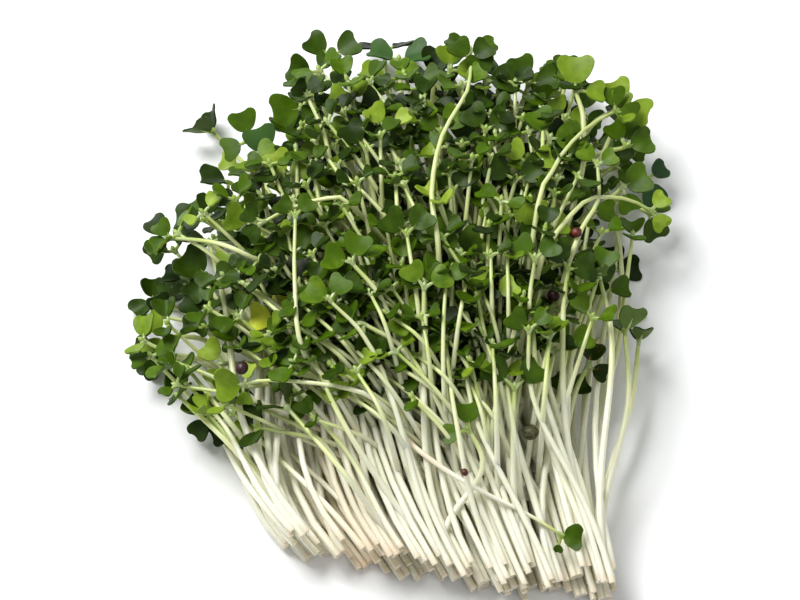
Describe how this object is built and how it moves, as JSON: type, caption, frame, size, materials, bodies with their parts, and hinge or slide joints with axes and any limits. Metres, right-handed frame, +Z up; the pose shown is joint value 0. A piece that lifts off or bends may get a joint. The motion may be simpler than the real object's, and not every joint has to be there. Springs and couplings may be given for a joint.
{
  "type": "bunch of cut microgreens",
  "caption": "Loose bunch of cut brassica microgreens lying on a surface: pale stems in a row at the cut end fan out to heart-shaped green seed leaves.",
  "frame": {"origin": "centre of the bounding box's bottom face, on the surface that the bunch lies on", "axes": "+Z up; +Y from the cut ends towards the leaves, along the bunch's length; +X across it"},
  "size_m": [0.1113, 0.1223, 0.0355],
  "materials": {
    "stems_and_seed_leaves": "satin, pale cream at the cut end to green leaves",
    "seed_coats": "matt, dark brown"
  },
  "bodies": {
    "root": {"clump_01_1": "stems_and_seed_leaves", "clump_01_2": "stems_and_seed_leaves", "clump_01_3": "stems_and_seed_leaves", "clump_02_1": "stems_and_seed_leaves", "clump_02_2": "stems_and_seed_leaves", "clump_03_1": "stems_and_seed_leaves", "clump_03_2": "stems_and_seed_leaves", "clump_04_1": "stems_and_seed_leaves", "clump_04_2": "stems_and_seed_leaves", "clump_04_3": "stems_and_seed_leaves", "clump_05_1": "stems_and_seed_leaves", "clump_05_2": "stems_and_seed_leaves", "clump_05_3": "stems_and_seed_leaves", "clump_06_2": "stems_and_seed_leaves", "clump_06_3": "stems_and_seed_leaves", "clump_07_1": "stems_and_seed_leaves", "clump_07_2": "stems_and_seed_leaves", "clump_08_1": "stems_and_seed_leaves", "clump_08_2": "stems_and_seed_leaves", "clump_08_3": "stems_and_seed_leaves", "clump_09_1": "stems_and_seed_leaves", "clump_09_3": "stems_and_seed_leaves", "clump_10_1": "stems_and_seed_leaves", "clump_10_2": "stems_and_seed_leaves", "clump_10_3": "stems_and_seed_leaves", "clump_11_1": "stems_and_seed_leaves", "clump_11_2": "stems_and_seed_leaves", "clump_12_1": "stems_and_seed_leaves", "clump_12_2": "stems_and_seed_leaves", "clump_12_3": "stems_and_seed_leaves", "seed_coat_1": "seed_coats", "seed_coat_2": "seed_coats", "seed_coat_3": "seed_coats", "seed_coat_4": "seed_coats"}
  },
  "joints": []
}
